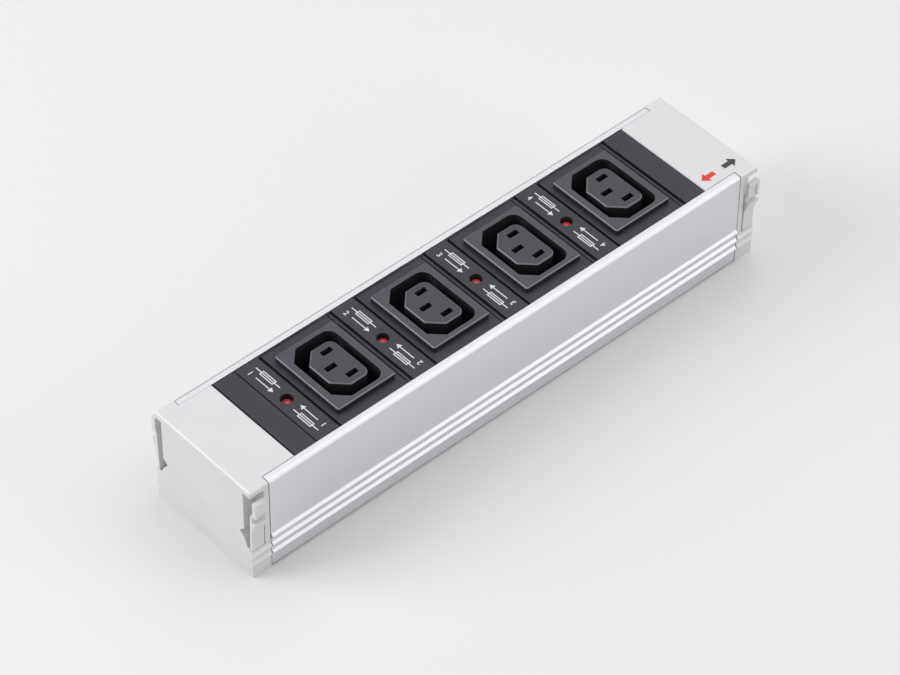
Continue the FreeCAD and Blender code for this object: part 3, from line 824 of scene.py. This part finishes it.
def cross_screws_group():
    """Cuts a cross recess into a screw blank that stands head down, and repeats it along the bar."""
    build, given, result = geometry_group("cross_screws", (
        "First X", "Step", "Seat", "Head Height", "Recess Length", "Recess Width", "Recess Depth"),
        takes_blank=True)
    cut = build.add("GeometryNodeMeshBoolean", operation="DIFFERENCE", solver="EXACT")
    build.join(given["Blank"], cut.inputs["Mesh 1"])
    crown = build.vector(0.0, 0.0, build.minus(given["Head Height"]))
    both_ways = build.math("MULTIPLY", given["Recess Depth"], 2.0)
    for x, y in (("Recess Length", "Recess Width"), ("Recess Width", "Recess Length")):
        blade = box_shape(build, build.vector(given[x], given[y], both_ways), crown)
        build.join(blade, cut.inputs["Mesh 2"])
    start = build.vector(given["First X"], 0.0, given["Seat"])
    step = build.vector(given["Step"], 0.0, 0.0)
    row = placed_along(build, cut.outputs["Mesh"], screw_count, start, step)
    return finish_group(build, given, result, row)


def plug_screws():
    """The pan-head screws of the plug, each turned in one piece and cut for a driver."""
    low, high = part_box("plug_screws")
    head_radius = (high.y - low.y) / 2
    seat = low.z + screw_head_height
    shank_top = high.z - seat
    profile = [(0, -screw_head_height)]
    profile += [(head_radius * radius, -screw_head_height * height) for radius, height in screw_dome]
    profile += [(head_radius, 0), (screw_shank_radius, 0),
                (screw_shank_radius, shank_top), (0, shank_top)]
    blank = turned_mesh("screw_blank", profile, Vector((0, 0, 0)), screw_sides)
    mesh = mesh_from_group("cross_screws", cross_screws_group(), {
        "First X": low.x + head_radius, "Step": high.x - low.x - 2 * head_radius, "Seat": seat,
        "Head Height": screw_head_height, "Recess Length": screw_recess_length,
        "Recess Width": screw_recess_width, "Recess Depth": screw_recess_depth, "Finish": ZINC}, blank)
    mesh.set_sharp_from_angle(angle=crease_angle)
    piece = new_piece("cross_screws", mesh, "module")
    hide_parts("plug_screws")


def return_spring_group():
    """A round-wire coil with cut ends, standing on a base height."""
    build, given, result = geometry_group("return_spring", (
        "Centre X", "Base", "Coil Radius", "Height", "Turns", "Wire"))
    path = build.add("GeometryNodeCurveSpiral")
    path.inputs["Resolution"].default_value = spring_turn_steps
    build.join(given["Turns"], path.inputs["Rotations"])
    build.join(given["Coil Radius"], path.inputs["Start Radius"])
    build.join(given["Coil Radius"], path.inputs["End Radius"])
    build.join(given["Height"], path.inputs["Height"])
    wire = build.add("GeometryNodeCurvePrimitiveCircle")
    wire.inputs["Resolution"].default_value = spring_wire_sides
    build.join(build.half(given["Wire"]), wire.inputs["Radius"])
    coil = build.add("GeometryNodeCurveToMesh")
    build.join(path.outputs["Curve"], coil.inputs["Curve"])
    build.join(wire.outputs["Curve"], coil.inputs["Profile Curve"])
    coil.inputs["Fill Caps"].default_value = True
    foot = build.vector(given["Centre X"], 0.0, given["Base"])
    return finish_group(build, given, result, moved(build, coil.outputs["Mesh"], foot))


def return_springs():
    """One coil spring under each button, in place of the frame's spring."""
    tree = return_spring_group()
    for outlet in OUTLETS:
        node = f"button_spring_{outlet}"
        low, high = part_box(node)
        centre = box_middle(node)
        mesh = mesh_from_group(f"spring_coil_{outlet}", tree, {
            "Centre X": centre.x, "Base": low.z + spring_wire / 2,
            "Coil Radius": (high.y - low.y - spring_wire) / 2,
            "Height": high.z - low.z - spring_wire, "Turns": spring_turns, "Wire": spring_wire,
            "Finish": SPRING})
        piece = linked(f"spring_coil_{outlet}", mesh)
        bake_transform(piece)
        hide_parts(node)


def pale_floor():
    mesh = bpy.data.meshes.new("floor")
    corners = [(-floor_reach, -floor_reach, 0), (floor_reach, -floor_reach, 0),
               (floor_reach, floor_reach, 0), (-floor_reach, floor_reach, 0)]
    mesh.from_pydata(corners, [], [(0, 1, 2, 3)])
    floor = linked("floor", mesh)
    finish = Finish("pale_floor", specular=dull_specular)
    finish.set("Base Color", floor_colour)
    finish.set("Roughness", floor_roughness)
    mesh.materials.append(finish.material)


def studio_light():
    """An even sky, and square lamps that face the bar."""
    world = bpy.data.worlds.new("studio")
    bpy.context.scene.world = world
    world.use_nodes = True
    background = world.node_tree.nodes["Background"]
    background.inputs["Color"].default_value = sky_colour
    background.inputs["Strength"].default_value = sky_strength
    for name, place, side, watts in softboxes:
        lamp = bpy.data.lights.new(name, "AREA")
        lamp.size = side
        lamp.energy = watts
        holder = linked(name, lamp)
        holder.location = place
        holder.rotation_euler = (-Vector(place)).to_track_quat("-Z", "Y").to_euler()


def photo_camera():
    """The photograph's viewpoint, from its angles and its distance."""
    cos_e = math.cos(view_elevation)
    sin_e = math.sin(view_elevation)
    cos_a = math.cos(view_azimuth)
    sin_a = math.sin(view_azimuth)
    back = Vector((sin_a * cos_e, -cos_a * cos_e, sin_e))
    level = Vector((cos_a, sin_a, 0))
    upright = back.cross(level)
    right = level * math.cos(view_roll) + upright * math.sin(view_roll)
    up = upright * math.cos(view_roll) - level * math.sin(view_roll)
    lens = bpy.data.cameras.new("camera")
    lens.sensor_width = sensor_width
    lens.lens = focal_pixels / picture_width * sensor_width
    camera = linked("camera", lens)
    turn = Matrix((right, up, back)).transposed().to_4x4()
    place = back * view_distance - right * view_offset[0] - up * view_offset[1]
    camera.matrix_world = Matrix.Translation(place) @ turn
    bpy.context.scene.camera = camera


dress_nodes()
reset_buttons()
return_springs()
strip_marks()
outlet_numbers()
flow_arrows()
plug_screws()
pale_floor()
studio_light()
photo_camera()
bpy.context.scene.view_settings.view_transform = "Standard"
